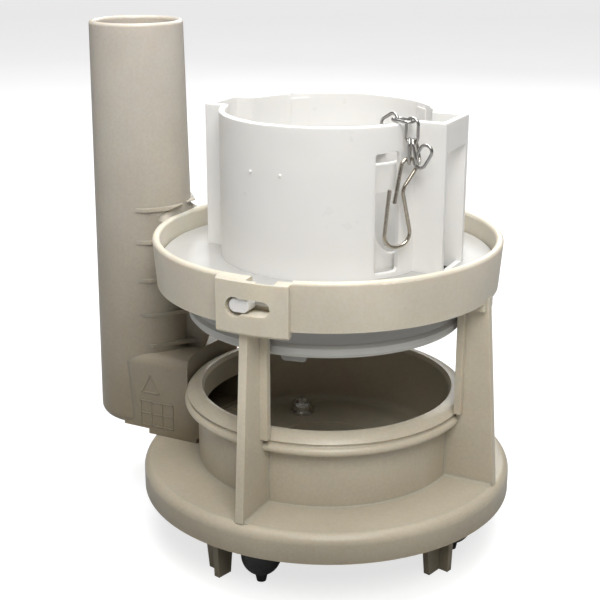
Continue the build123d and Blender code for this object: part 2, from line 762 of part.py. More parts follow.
cage_bore_radius = cage_radius - cage_wall
with BuildPart() as guide_cage:
    # Guide channels, as solid blocks first
    left_width = 2 * left_channel_half_width
    right_width = right_channel_high_y - right_channel_low_y
    right_middle_y = (right_channel_high_y + right_channel_low_y) / 2
    with BuildSketch(Plane.XY.offset(cage_plate_bottom)):
        Circle(cage_radius)
        with Locations(((left_channel_x - channel_root) / 2, 0)):
            Rectangle(-left_channel_x - channel_root, left_width)
        with Locations(((right_channel_x + channel_root) / 2, right_middle_y)):
            Rectangle(right_channel_x - channel_root, right_width)
    extrude(amount=cage_top - cage_plate_bottom)
    # Bore for the float and the open insides of the channels
    with BuildSketch(Plane.XY.offset(cage_plate_bottom)):
        Circle(cage_bore_radius)
        with Locations((left_channel_x / 2 + cage_wall / 2, 0)):
            Rectangle(-left_channel_x - cage_wall, left_width - 2 * cage_wall)
        with Locations((right_channel_x / 2 - cage_wall / 2, right_middle_y)):
            Rectangle(right_channel_x - cage_wall, right_width - 2 * cage_wall)
    extrude(amount=cage_top - cage_plate_bottom, mode=Mode.SUBTRACT)
    # The right channel's outer wall is only a band at the top
    with BuildSketch(Plane.YZ.offset(right_channel_x - cage_wall - 1)):
        with Locations((right_middle_y, (cage_plate_top + channel_band_bottom) / 2)):
            Rectangle(right_width - 2 * cage_wall, channel_band_bottom - cage_plate_top)
    extrude(amount=cage_wall + 2, mode=Mode.SUBTRACT)
    # Window in the cylinder beside the right channel
    window_angle = (window_start_angle + window_end_angle) / 2
    window_width = 2 * cage_radius * sin(radians((window_end_angle - window_start_angle) / 2))
    with BuildSketch(facing_plane(window_angle, cage_bore_radius - 3)):
        with Locations((0, (window_bottom + window_top) / 2)):
            RectangleRounded(window_width, window_top - window_bottom, window_corner_radius)
    extrude(amount=cage_wall + 6, mode=Mode.SUBTRACT)
    # Shallow guide rails down the bore
    for angle in rail_angles:
        with BuildSketch(facing_plane(angle, cage_bore_radius - rail_height)):
            with Locations((0, (cage_plate_bottom + cage_top) / 2 - 1)):
                Rectangle(rail_width, cage_top - cage_plate_bottom - 2)
        extrude(amount=rail_height + cage_wall / 2)
    # Moulding pips on the outside
    for angle in pip_angles:
        with Locations(polar(cage_radius, angle, pip_height)):
            Sphere(pip_radius)
    fillet(guide_cage.edges().group_by(Axis.Z)[-1], cage_top_fillet)
save(guide_cage.part, "guide_cage")

with BuildPart() as cage_plate:
    with BuildSketch(Plane.XY.offset(cage_plate_bottom)):
        Circle(cage_plate_radius)
        Circle(cage_bore_radius, mode=Mode.SUBTRACT)
        with Locations((left_channel_x / 2 + cage_wall / 2, 0)):
            Rectangle(-left_channel_x - cage_wall, left_width - 2 * cage_wall, mode=Mode.SUBTRACT)
        with Locations((right_channel_x / 2 - cage_wall / 2, right_middle_y)):
            Rectangle(right_channel_x - cage_wall, right_width - 2 * cage_wall, mode=Mode.SUBTRACT)
    extrude(amount=cage_plate_top - cage_plate_bottom)
    plate_rounds = cage_plate.edges().filter_by(GeomType.CIRCLE).group_by(Axis.Z)[-1]
    chamfer(plate_rounds.sort_by(SortBy.LENGTH)[-1], cage_plate_chamfer)
    add(guide_cage.part, mode=Mode.SUBTRACT)
save(cage_plate.part, "cage_plate")

with BuildPart() as bayonet_lugs:
    for turn in (0, 180):
        with BuildSketch(facing_plane(lug_angle + turn, cage_plate_radius - 0.5)):
            with Locations((0, (lug_bottom + lug_top) / 2)):
                RectangleRounded(2 * lug_half_width, lug_top - lug_bottom, lug_corner_radius)
        extrude(amount=lug_reach - cage_plate_radius + 0.5)
    add(cage_plate.part, mode=Mode.SUBTRACT)
save(bayonet_lugs.part, "bayonet_lugs")

# ---------------------------------------------------------------- lifting valve

with BuildPart() as seal_ring:
    with BuildSketch(Plane.XZ):
        with BuildLine():
            Polyline(
                (seal_bore_radius, disc_bottom),
                (seal_bore_radius, disc_bottom - seal_clamp_thickness),
                (retainer_radius + 0.6, disc_bottom - seal_clamp_thickness),
                (rim_inner_radius, seal_bottom),
                (lip_seal_radius - 1.2, seal_bottom),
                (lip_seal_radius, seal_bottom + 1.4),
                (lip_seal_radius, disc_bottom - 1.2),
                (disc_radius, disc_bottom),
                close=True,
            )
        make_face()
    revolve(axis=Axis.Z)
save(seal_ring.part, "seal_ring")

with BuildPart() as seal_retainer:
    retainer_bottom = disc_bottom - seal_clamp_thickness - retainer_thickness
    with BuildSketch(Plane.XY.offset(retainer_bottom)):
        Circle(retainer_radius)
        Circle(retainer_bore, mode=Mode.SUBTRACT)
    extrude(amount=retainer_thickness)
save(seal_retainer.part, "seal_retainer")

with BuildPart() as retainer_tabs:
    for angle in tab_angles:
        with BuildSketch(facing_plane(angle, tab_radius)):
            with Locations((0, retainer_bottom - (tab_drop - tab_corner_radius) / 2)):
                RectangleRounded(2 * tab_half_width, tab_drop + tab_corner_radius, tab_corner_radius)
        extrude(amount=tab_thickness)
    with BuildSketch(Plane.XY.offset(retainer_bottom)):
        Circle(retainer_radius)
    extrude(amount=tab_drop, mode=Mode.SUBTRACT)
save(retainer_tabs.part, "retainer_tabs")

with BuildPart() as valve_disc:
    with BuildSketch(Plane.XY.offset(disc_bottom)):
        Circle(disc_radius)
    extrude(amount=disc_wall)
save(valve_disc.part, "valve_disc")

with BuildPart() as disc_rim:
    with BuildSketch(Plane.XZ):
        with BuildLine():
            Polyline(
                (disc_radius - disc_wall, disc_bottom + disc_wall),
                (disc_radius, disc_bottom + disc_wall),
                (disc_radius, disc_top - 1),
                (disc_radius - 1, disc_top),
                (disc_radius - 2 * disc_wall, disc_top),
                (disc_radius - 2 * disc_wall, disc_top - disc_wall),
                (disc_radius - disc_wall, disc_top - disc_wall),
                close=True,
            )
        make_face()
    revolve(axis=Axis.Z)
save(disc_rim.part, "disc_rim")

with BuildPart() as float_tube:
    float_foot = disc_bottom + disc_wall
    with BuildSketch(Plane.XY.offset(float_foot)):
        Circle(float_radius)
        Circle(float_radius - float_wall, mode=Mode.SUBTRACT)
    extrude(amount=float_top - float_foot)
    fillet(float_tube.edges().group_by(Axis.Z)[-1], float_top_fillet)
    # Portholes: flat at the top, round at the bottom
    for angle in porthole_angles:
        with BuildSketch(facing_plane(angle, float_radius - float_wall - 6)):
            with Locations((0, porthole_bottom + porthole_half_width)):
                Circle(porthole_half_width)
            with Locations((0, (porthole_bottom + porthole_half_width + porthole_top) / 2)):
                Rectangle(2 * porthole_half_width, porthole_top - porthole_bottom - porthole_half_width)
        extrude(amount=float_wall + 10, mode=Mode.SUBTRACT)
save(float_tube.part, "float_tube")

with BuildPart() as guide_fins:
    for side in (-1, 1):
        with BuildSketch(Plane.XZ):
            with BuildLine():
                Polyline(
                    (side * (float_radius - fin_root), fin_foot),
                    (side * (fin_reach - fin_foot_chamfer), fin_foot),
                    (side * fin_reach, fin_foot + fin_tip_chamfer),
                    (side * fin_reach, fin_top - fin_tip_chamfer),
                    (side * (float_radius + fin_shoulder), fin_top),
                    (side * (float_radius - fin_root), fin_top),
                    close=True,
                )
            make_face()
        extrude(amount=fin_half_thickness, both=True)
    with BuildSketch(Plane.XY.offset(fin_foot - 1)):
        Circle(float_radius)
    extrude(amount=fin_top, mode=Mode.SUBTRACT)
save(guide_fins.part, "guide_fins")

# The chain lies in the upright plane at chain_angle, given here as (radius, height) points.
# Its last link loops round the lift pin, which crosses that plane.
rim_link_inner_end = (rim_link_start, cage_top + wire / 2 + rim_link_clearance)
chain_frame = radial_plane(chain_angle)


def step_down(point, slope, length):
    """Point one length further along an inward run that falls at the given slope."""
    return (point[0] - length * cos(radians(slope)), point[1] - length * sin(radians(slope)))


joint_points = [
    (rim_link_inner_end[0] + first_joint_offset[0], rim_link_inner_end[1] + first_joint_offset[1]),
]
for slope in run_slopes:
    joint_points.append(step_down(joint_points[-1], slope, joint_span))
last_joint = joint_points[-1]
hinge_point = (last_joint[0], last_joint[1] + joint_span / 2 - link_end + wire + link_gap)
pin_rise = pin_reach * sin(radians(slack_slope)) / cos(radians(slack_slope))
pin_point = (hinge_point[0] - pin_reach, hinge_point[1] + pin_rise)

with BuildPart() as lift_pin:
    with BuildSketch(chain_frame):
        with Locations(pin_point):
            Circle(pin_radius)
    extrude(amount=pin_half_length, both=True)
save(lift_pin.part, "lift_pin")

with BuildPart() as float_bridge:
    bridge_top = pin_point[1] - bridge_drop
    with BuildSketch(chain_frame):
        with Locations((pin_point[0], bridge_top - bridge_thickness / 2)):
            Rectangle(bridge_width, bridge_thickness)
    extrude(amount=float_radius, both=True)
    # Two lugs that carry the pin
    for side in (-1, 1):
        lug_plane = chain_frame.offset(side * (pin_half_length - bridge_lug_thickness / 2))
        with BuildSketch(lug_plane):
            with Locations((pin_point[0], pin_point[1] - bridge_drop / 2)):
                Rectangle(bridge_width * bridge_lug_share, bridge_drop)
            with Locations(pin_point):
                Circle(bridge_width * bridge_lug_share / 2)
        extrude(amount=bridge_lug_thickness / 2, both=True)
    with BuildSketch(Plane.XY.offset(bridge_top - bridge_thickness)):
        Circle(2 * float_radius)
        Circle(float_radius - float_wall, mode=Mode.SUBTRACT)
    extrude(amount=bridge_drop + bridge_width, mode=Mode.SUBTRACT)
    add(lift_pin.part, mode=Mode.SUBTRACT)
save(float_bridge.part, "float_bridge")

# ---------------------------------------------------------------- chain and hook


def chain_link(plane):
    """Closed oval of round wire. The plane's origin is its middle and local X its long axis."""
    half_side = link_end - link_bend_radius
    with BuildPart() as link:
        with BuildLine(plane) as oval:
            Line((-half_side, link_bend_radius), (half_side, link_bend_radius))
            ThreePointArc((half_side, link_bend_radius), (link_end, 0), (half_side, -link_bend_radius))
            Line((half_side, -link_bend_radius), (-half_side, -link_bend_radius))
            ThreePointArc((-half_side, -link_bend_radius), (-link_end, 0), (-half_side, link_bend_radius))
        with BuildSketch(Plane(origin=oval.wire() @ 0, z_dir=oval.wire() % 0)):
            Circle(wire / 2)
        sweep(path=oval.wire())
    return link.part


def frame_link_plane(middle, slope, across):
    """Plane of a link in the chain's upright plane, standing in it or lying across it."""
    x_dir = chain_frame.x_dir * -cos(radians(slope)) + chain_frame.y_dir * -sin(radians(slope))
    z_dir = x_dir.cross(chain_frame.z_dir) if across else chain_frame.z_dir
    return Plane(origin=chain_frame.from_local_coords(middle), x_dir=x_dir, z_dir=z_dir)


def hanging_plane(top, direction, width_angle):
    """Plane of a link whose top wire is at a point, hanging along a direction."""
    direction = direction.normalized()
    across = polar(1, width_angle)
    return Plane(origin=top + direction * link_end, x_dir=direction, z_dir=direction.cross(across))


rim_link_outer_end = (rim_link_inner_end[0] + 2 * link_end, rim_link_inner_end[1])
link_planes = [frame_link_plane((rim_link_inner_end[0] + link_end, rim_link_inner_end[1]), 0.0, True)]
for index, slope in enumerate(run_slopes):
    start, end = joint_points[index], joint_points[index + 1]
    middle = ((start[0] + end[0]) / 2, (start[1] + end[1]) / 2)
    link_planes.append(frame_link_plane(middle, slope, index % 2 == 1))
for index in range(slack_links):
    reach = link_end + index * link_pitch
    middle = step_down(hinge_point, -slack_slope, reach)
    link_planes.append(frame_link_plane(middle, -slack_slope, index % 2 == 0))

outer_end = chain_frame.from_local_coords(rim_link_outer_end)
down = Vector(0, 0, -1)
drop_wire_gap = wire + link_gap
link_planes.append(hanging_plane(outer_end - down * drop_wire_gap, down, drop_link_angle))
drop_foot = outer_end - down * drop_wire_gap + down * 2 * link_end
side_step = polar(side_by_side, drop_link_angle)
hook_link_top = drop_foot - side_step - down * (drop_wire_gap + side_rise)
link_planes.append(hanging_plane(hook_link_top, down, hook_link_angle))
spare_direction = polar(sin(radians(spare_tilt)), drop_link_angle) + down * cos(radians(spare_tilt))
spare_top = drop_foot + side_step - down * (drop_wire_gap + side_rise)
link_planes.append(hanging_plane(spare_top, spare_direction, spare_link_angle))
end_direction = polar(cos(radians(end_link_rise)), end_link_angle) - down * sin(radians(end_link_rise))
spare_foot = spare_top + spare_direction.normalized() * 2 * link_end
end_link_start = spare_foot - end_direction * drop_wire_gap
link_planes.append(
    Plane(
        origin=end_link_start + end_direction * link_end,
        x_dir=end_direction,
        z_dir=polar(1, end_link_angle - 90),
    )
)

for number, link_plane in enumerate(link_planes, start=1):
    save(chain_link(link_plane), f"chain_link_{number:02d}")

hook_eye = hook_link_top + down * (2 * link_end - wire / 2 - hook_wire / 2 - eye_gap)
hook_normal = polar(1, hook_angle)
hook_distance = hook_eye.X * hook_normal.X + hook_eye.Y * hook_normal.Y
hook_plane = facing_plane(hook_angle, hook_distance)
eye_across = hook_plane.to_local_coords(hook_eye).X
eye_height = hook_eye.Z
with BuildPart() as pull_hook:
    with BuildLine(hook_plane) as hook_path:
        FilletPolyline(
            *((eye_across + across, eye_height + rise) for across, rise in hook_corners),
            radius=list(hook_bend_radii),
        )
    with BuildSketch(Plane(origin=hook_path.wire() @ 0, z_dir=hook_path.wire() % 0)):
        Circle(hook_wire / 2)
    sweep(path=hook_path.wire())
save(pull_hook.part, "pull_hook")
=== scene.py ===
"""Cistern flush valve: materials, moulding detail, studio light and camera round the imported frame."""

import math

import bmesh
import bpy
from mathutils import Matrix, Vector


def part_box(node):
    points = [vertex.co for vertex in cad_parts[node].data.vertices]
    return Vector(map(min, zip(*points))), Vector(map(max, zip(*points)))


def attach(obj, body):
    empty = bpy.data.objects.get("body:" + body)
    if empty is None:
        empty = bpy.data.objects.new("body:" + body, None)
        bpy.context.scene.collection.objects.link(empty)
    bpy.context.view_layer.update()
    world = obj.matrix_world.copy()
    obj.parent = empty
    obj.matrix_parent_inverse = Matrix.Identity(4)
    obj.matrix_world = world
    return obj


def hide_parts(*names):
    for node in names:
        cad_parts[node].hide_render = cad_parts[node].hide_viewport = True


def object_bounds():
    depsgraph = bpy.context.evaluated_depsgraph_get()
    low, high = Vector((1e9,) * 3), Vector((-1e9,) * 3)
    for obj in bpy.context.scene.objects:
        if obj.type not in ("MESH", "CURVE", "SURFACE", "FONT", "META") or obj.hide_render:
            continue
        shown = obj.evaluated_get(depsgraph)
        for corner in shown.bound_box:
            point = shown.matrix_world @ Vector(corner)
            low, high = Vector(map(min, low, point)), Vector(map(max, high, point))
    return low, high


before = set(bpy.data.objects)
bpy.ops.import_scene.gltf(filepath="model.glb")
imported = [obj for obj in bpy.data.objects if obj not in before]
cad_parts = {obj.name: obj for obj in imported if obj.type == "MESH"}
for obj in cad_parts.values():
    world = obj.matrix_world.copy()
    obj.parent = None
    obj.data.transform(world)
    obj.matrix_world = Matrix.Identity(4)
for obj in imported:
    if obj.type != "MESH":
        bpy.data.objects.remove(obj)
cad_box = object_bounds()
scene = bpy.context.scene
MM = 0.001

# One natural plastic and one white on the real object. They are grouped here by tint, and the tints stand
# in for shading that the lights alone don't give
PIPE_NODES = ("overflow_pipe", "overflow_duct", "pipe_web", "web_ribs", "ring_saddle")
RING_NODES = ("guide_ring",)
BODY_NODES = ("seat_cup", "outlet_spigot", "base_flange", "front_leg", "right_leg", "rear_leg")
FOOT_NODES = ("flange_skirt", "stand_feet")
WHITE_NODES = ("guide_cage", "bayonet_lugs", "float_tube", "guide_fins", "float_bridge")
SHADED_WHITE_NODES = ("cage_plate", "seal_retainer", "retainer_tabs", "valve_disc", "disc_rim")
# Width of the softened edge on each moulding
SOFT_EDGES = {
    "front_leg": 0.5 * MM, "right_leg": 0.5 * MM, "rear_leg": 0.5 * MM, "stand_feet": 0.4 * MM,
    "guide_ring": 0.35 * MM, "overflow_duct": 0.5 * MM, "pipe_web": 0.4 * MM, "web_ribs": 0.3 * MM,
    "ring_saddle": 0.4 * MM, "guide_cage": 0.3 * MM, "bayonet_lugs": 0.4 * MM, "retainer_tabs": 0.3 * MM,
    "float_tube": 0.25 * MM,
}
RUBBER_NODES = ("base_gasket", "rubber_plugs")
BRIGHT_NODES = ("stud_washers", "dome_nuts", "fixing_studs", "lift_pin")
CHAIN_LINKS = 14


# ---------------------------------------------------------------- materials


class Shader:
    """A node material with short helpers for noise, ramps and bump."""

    def __init__(self, name, **values):
        self.material = bpy.data.materials.new(name)
        self.material.use_nodes = True
        self.tree = self.material.node_tree
        self.bsdf = self.tree.nodes["Principled BSDF"]
        for socket, value in values.items():
            self.bsdf.inputs[socket.replace("_", " ")].default_value = value
        self.coords = self.tree.nodes.new("ShaderNodeTexCoord").outputs["Object"]

    def add(self, kind, **settings):
        node = self.tree.nodes.new(kind)
        for key, value in settings.items():
            if key in node.inputs:
                node.inputs[key].default_value = value
            else:
                setattr(node, key, value)
        return node

    def link(self, start, end):
        self.tree.links.new(start, end)

    def stretched(self, scale):
        mapping = self.add("ShaderNodeMapping", Scale=scale)
        self.link(self.coords, mapping.inputs["Vector"])
        return mapping.outputs["Vector"]

    def noise(self, scale, detail=3.0, rough=0.5, stretch=(1, 1, 1)):
        node = self.add("ShaderNodeTexNoise", Scale=scale, Detail=detail, Roughness=rough)
        self.link(self.stretched(stretch), node.inputs["Vector"])
        return node.outputs["Fac"]

    def ramp(self, source, stops):
        node = self.add("ShaderNodeValToRGB")
        elements = node.color_ramp.elements
        while len(elements) < len(stops):
            elements.new(0.5)
        for element, (place, colour) in zip(elements, stops):
            element.position = place
            element.color = (*colour, 1)
        self.link(source, node.inputs["Fac"])
        return node.outputs["Color"]

    def grey_ramp(self, source, low, high, start=0.3, end=0.7):
        return self.ramp(source, ((start, (low,) * 3), (end, (high,) * 3)))

    def mix(self, factor, first, second, blend="MIX"):
        node = self.add("ShaderNodeMix", data_type="RGBA", blend_type=blend)
        for socket, value in ((0, factor), (6, first), (7, second)):
            if isinstance(value, (int, float)):
                node.inputs[socket].default_value = value
            else:
                self.link(value, node.inputs[socket])
        return node.outputs[2]

    def bump(self, height, strength, distance, normal=None):
        node = self.add("ShaderNodeBump", Strength=strength, Distance=distance)
        self.link(height, node.inputs["Height"])
        if normal is not None:
            self.link(normal, node.inputs["Normal"])
        return node.outputs["Normal"]

    def height_of(self):
        split = self.add("ShaderNodeSeparateXYZ")
        self.link(self.coords, split.inputs["Vector"])
        return split.outputs["Z"]

    def remap(self, source, low, high):
        node = self.add("ShaderNodeMapRange")
        node.inputs["From Min"].default_value = low
        node.inputs["From Max"].default_value = high
        self.link(source, node.inputs["Value"])
        return node.outputs["Result"]


def natural_plastic(name, foot_painted_shading, top_painted_shading, foot, top):
    """Unpigmented polypropylene: beige-grey, waxy, with flow clouds, and a painted shade and painted light
    tint from foot to top height.
    """
    s = Shader(
        name,
        Roughness=0.36,
        IOR=1.49,
        Specular_IOR_Level=0.42,
        Subsurface_Weight=0.35,
        Subsurface_Radius=(0.010, 0.0065, 0.0035),
        Subsurface_Scale=0.35,
    )
    clouds = s.noise(26, 4, 0.55)
    base = s.ramp(clouds, ((0.3, (0.475, 0.440, 0.370)), (0.7, (0.555, 0.520, 0.445))))
    # Painted shade towards the foot and painted light towards the top, multiplied into the plastic's
    # colour by height
    tint = s.ramp(s.remap(s.height_of(), foot, top), ((0.0, foot_painted_shading), (1.0, top_painted_shading)))
    base = s.mix(1.0, base, tint, "MULTIPLY")
    specks = s.noise(900, 2, 0.6)
    base = s.mix(0.05, base, s.grey_ramp(specks, 0.1, 1.0), "OVERLAY")
    s.link(base, s.bsdf.inputs["Base Color"])
    s.link(s.grey_ramp(s.noise(60, 4, 0.6), 0.30, 0.44), s.bsdf.inputs["Roughness"])
    drag = s.noise(240, 3, 0.5, stretch=(1, 1, 0.04))
    sag = s.bump(s.noise(14, 2, 0.5), 0.25, 0.0012)
    lines = s.bump(drag, 0.10, 0.0002, sag)
    grain = s.bump(s.noise(1600, 2, 0.5), 0.09, 0.00012, lines)
    s.link(grain, s.bsdf.inputs["Normal"])
    return s.material


def white_plastic(name, dark, light):
    """Milky white polypropylene, slightly translucent, with a satin moulded surface."""
    s = Shader(
        name,
        Roughness=0.33,
        IOR=1.49,
        Specular_IOR_Level=0.4,
        Subsurface_Weight=0.3,
        Subsurface_Radius=(0.008, 0.0075, 0.0065),
        Subsurface_Scale=0.4,
    )
    clouds = s.noise(20, 3, 0.5)
    base = s.ramp(clouds, ((0.3, dark), (0.7, light)))
    s.link(base, s.bsdf.inputs["Base Color"])
    s.link(s.grey_ramp(s.noise(70, 3, 0.6), 0.27, 0.41), s.bsdf.inputs["Roughness"])
    sag = s.bump(s.noise(12, 2, 0.5), 0.2, 0.001)
    drag = s.bump(s.noise(300, 3, 0.5, stretch=(1, 1, 0.03)), 0.07, 0.0002, sag)
    grain = s.bump(s.noise(1800, 2, 0.5), 0.07, 0.0001, drag)
    s.link(grain, s.bsdf.inputs["Normal"])
    return s.material


def grey_rubber():
    """Translucent bluish-grey silicone of the disc seal."""
    s = Shader(
        "grey_silicone",
        Roughness=0.42,
        Specular_IOR_Level=0.4,
        Subsurface_Weight=0.25,
        Subsurface_Radius=(0.004, 0.005, 0.005),
        Subsurface_Scale=0.3,
    )
    base = s.ramp(s.noise(45, 3, 0.5), ((0.3, (0.58, 0.58, 0.55)), (0.7, (0.66, 0.66, 0.63))))
    s.link(base, s.bsdf.inputs["Base Color"])
    s.link(s.grey_ramp(s.noise(120, 3, 0.6), 0.36, 0.52), s.bsdf.inputs["Roughness"])
    soft = s.bump(s.noise(60, 2, 0.5), 0.15, 0.0004)
    s.link(s.bump(s.noise(2200, 2, 0.5), 0.12, 0.0001, soft), s.bsdf.inputs["Normal"])
    return s.material


def black_rubber():
    """Moulded black rubber with a dusty bloom."""
    s = Shader("black_rubber", Roughness=0.5, Specular_IOR_Level=0.45)
    base = s.ramp(s.noise(180, 5, 0.65), ((0.35, (0.008, 0.008, 0.008)), (0.8, (0.030, 0.029, 0.028))))
    s.link(base, s.bsdf.inputs["Base Color"])
    s.link(s.grey_ramp(s.noise(300, 4, 0.6), 0.36, 0.62), s.bsdf.inputs["Roughness"])
    s.link(s.bump(s.noise(2600, 3, 0.6), 0.25, 0.0001), s.bsdf.inputs["Normal"])
    return s.material


def bright_steel(name, tint, rough, scratch):
    """Plated steel wire and fixings, with fine drawing marks and dull patches."""
    s = Shader(name, Metallic=1.0, Roughness=rough)
    low = tuple(0.86 * c for c in tint)
    s.link(s.ramp(s.noise(400, 4, 0.6), ((0.3, low), (0.62, tint))), s.bsdf.inputs["Base Color"])
    s.link(s.grey_ramp(s.noise(700, 4, 0.6), rough * 0.8, rough * 1.4), s.bsdf.inputs["Roughness"])
    s.link(s.bump(s.noise(2400, 3, 0.6, stretch=(1, 1, 0.2)), scratch, 0.00008), s.bsdf.inputs["Normal"])
    return s.material


# The four naturals are copies of the one natural plastic, with painted shade towards the foot and painted
# light towards the top of their parts; the shaded white is the white darkened with painted shade
natural_pipe = natural_plastic("natural_pipe", (0.45, 0.40, 0.32), (1.20, 1.20, 1.25), 0.015, 0.165)
natural_ring = natural_plastic("natural_ring", (1.20, 1.18, 1.13), (1.30, 1.30, 1.28), 0.078, 0.097)
natural_body = natural_plastic("natural_body", (0.84, 0.80, 0.73), (1.22, 1.19, 1.12), 0.010, 0.062)
natural_foot = natural_plastic("natural_foot", (0.46, 0.43, 0.37), (0.84, 0.80, 0.73), -0.004, 0.0105)
white = white_plastic("white_polypropylene", (0.83, 0.82, 0.80), (0.88, 0.87, 0.85))
shaded_white = white_plastic("shaded_polypropylene", (0.44, 0.435, 0.415), (0.48, 0.475, 0.455))
silicone = grey_rubber()
black = black_rubber()
zinc = bright_steel("bright_zinc", (0.70, 0.69, 0.66), 0.22, 0.05)
chain_wire = bright_steel("chain_wire", (0.56, 0.55, 0.53), 0.20, 0.03)
hook_wire = bright_steel("hook_wire", (0.56, 0.51, 0.44), 0.22, 0.03)


EDGE_ANGLE = math.radians(35)
FLAT_ANGLE = math.radians(0.6)
BEVEL_STEPS = 3


def dress(node, material, bevel=0.0):
    """Give a CAD node its material, smooth shading and, where asked, softened edges."""
    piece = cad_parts[node]
    piece.data.materials.clear()
    piece.data.materials.append(material)
    piece.data.set_sharp_from_angle(angle=EDGE_ANGLE)
    for polygon in piece.data.polygons:
        polygon.use_smooth = True
    if bevel:
        flat = piece.modifiers.new("whole_faces", "DECIMATE")
        flat.decimate_type = "DISSOLVE"
        flat.angle_limit = FLAT_ANGLE
        soft = piece.modifiers.new("soft_edges", "BEVEL")
        soft.width = bevel
        soft.segments = BEVEL_STEPS
        soft.limit_method = "ANGLE"
        soft.angle_limit = EDGE_ANGLE
        soft.harden_normals = True


for names, material in (
    (PIPE_NODES, natural_pipe),
    (RING_NODES, natural_ring),
    (BODY_NODES, natural_body),
    (FOOT_NODES, natural_foot),
    (WHITE_NODES, white),
    (SHADED_WHITE_NODES, shaded_white),
):
    for name in names:
        dress(name, material, SOFT_EDGES.get(name, 0.0))
for name in RUBBER_NODES:
    dress(name, black)
for name in BRIGHT_NODES:
    dress(name, zinc)
dress("seal_ring", silicone)
dress("pull_hook", hook_wire)
for number in range(1, CHAIN_LINKS + 1):
    dress(f"chain_link_{number:02d}", chain_wire)

# ---------------------------------------------------------------- moulding detail

UP = Vector((0, 0, 1))
ARC_STEPS = 6
RING_STEPS = 160
SHARP_ANGLE = math.radians(40)
# How far the back of an added piece goes into the wall behind it
ROOT = 0.25 * MM

CUP_FILLET = 1.6 * MM
LEG_DECK_FILLET = 1.2 * MM
LEG_CUP_FILLET = 1.1 * MM
LEG_ANGLES = (-90.0, 0.0, 90.0)
LEG_HALF = 1.5 * MM
# Where the legs' fillets begin and end
FILLET_START = 0.5 * MM
FILLET_PAST_DECK = 0.9 * MM
LEG_FILLET_TOP = 31.3 * MM
# From the outside of the cup's bead in to the corner of the fillets, 0.6 mm inside the cup's wall
BEAD_TO_FILLET = 5.4 * MM

# Raised bars on the duct, as (width, height), and the slope of their sides and ends
SIGN_BAR = (0.7 * MM, 0.3 * MM)
GRID_BAR = (0.6 * MM, 0.28 * MM)
BAR_SHOULDER = 0.3
BAR_TOP_HALF = 0.25
BAR_END_SLOPE = 0.3
# Places on the duct's front wall in millimetres, from the marks' left side and from the duct's foot
MARKS_WIDTH = 27.0
SIGN_CORNERS = ((0.8, 17.4), (8.4, 17.4), (4.6, 24.2))
GRID_COLUMNS = 3
GRID_ROWS = 2
CELL_WIDTH = 4.9
CELL_HEIGHT = 5.0
GRID_FOOT = 3.6

STUD_CIRCLE = 34.7 * MM
STUD_ANGLES = (132.4, 12.4, -107.6)
STUD_RADIUS = 2.3 * MM
STUD_TIP = 0.5 * MM
THREAD_PITCH = 0.7 * MM
THREAD_DEPTH = 0.3 * MM
THREAD_ROOT = 0.15 * MM
THREAD_START = 0.1 * MM
# Half the thread's width at its root, as a share of the pitch
THREAD_HALF = 0.28
THREAD_STEPS = 24

# The saddle's two ends: how far out from the pipe's and the ring's axes, and half the angle each spans
PIPE_REACH = 18.1 * MM
RING_REACH = 61.2 * MM
PIPE_SPREAD = math.radians(40)
RING_SPREAD = math.radians(14)
LIP_DROP = 1.0 * MM
HUMP_POWER = 0.6
SADDLE_ACROSS = 28
SADDLE_ALONG = 14


def finish_piece(name, builder, material, body):
    """Turn a built mesh into a smooth-shaded piece that rides on a body."""
    bmesh.ops.recalc_face_normals(builder, faces=builder.faces)
    mesh = bpy.data.meshes.new(name)
    builder.to_mesh(mesh)
    builder.free()
    for polygon in mesh.polygons:
        polygon.use_smooth = True
    mesh.set_sharp_from_angle(angle=SHARP_ANGLE)
    mesh.materials.append(material)
    piece = bpy.data.objects.new(name, mesh)
    scene.collection.objects.link(piece)
    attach(piece, body)
    return piece


def cove_section(size):
    """Concave fillet in a corner, as (along side a, along side b) pairs with its back inside the walls."""
    curve = []
    for step in range(ARC_STEPS + 1):
        turn = math.radians(90 * step / ARC_STEPS)
        curve.append((size * (1 - math.sin(turn)), size * (1 - math.cos(turn))))
    return [(size, -ROOT)] + curve + [(-ROOT, size), (-ROOT, -ROOT)]


def cove_run(builder, start, end, side_a, side_b, size):
    """Fillet along a straight inside corner between two walls."""
    rows = []
    for point in (start, end):
        rows.append([builder.verts.new(point + side_a * a + side_b * b) for a, b in cove_section(size)])
    count = len(rows[0])
    for i in range(count):
        j = (i + 1) % count
        builder.faces.new((rows[0][i], rows[0][j], rows[1][j], rows[1][i]))
    builder.faces.new(rows[0])
    builder.faces.new(list(reversed(rows[1])))


def cove_ring(builder, radius, height, size):
    """Fillet round the outside of the cup where it meets a flat face."""
    rows = []
    for step in range(RING_STEPS):
        turn = math.radians(360 * step / RING_STEPS)
        row = []
        for out, rise in cove_section(size):
            reach = radius + out
            row.append(builder.verts.new((reach * math.cos(turn), reach * math.sin(turn), height + rise)))
        rows.append(row)
    count = len(rows[0])
    for k in range(RING_STEPS):
        here, there = rows[k], rows[(k + 1) % RING_STEPS]
        for i in range(count):
            j = (i + 1) % count
            builder.faces.new((here[i], here[j], there[j], there[i]))


def direction(angle):
    """Unit vector in the ground plane at an angle in degrees from +X."""
    return Vector((math.cos(math.radians(angle)), math.sin(math.radians(angle)), 0))


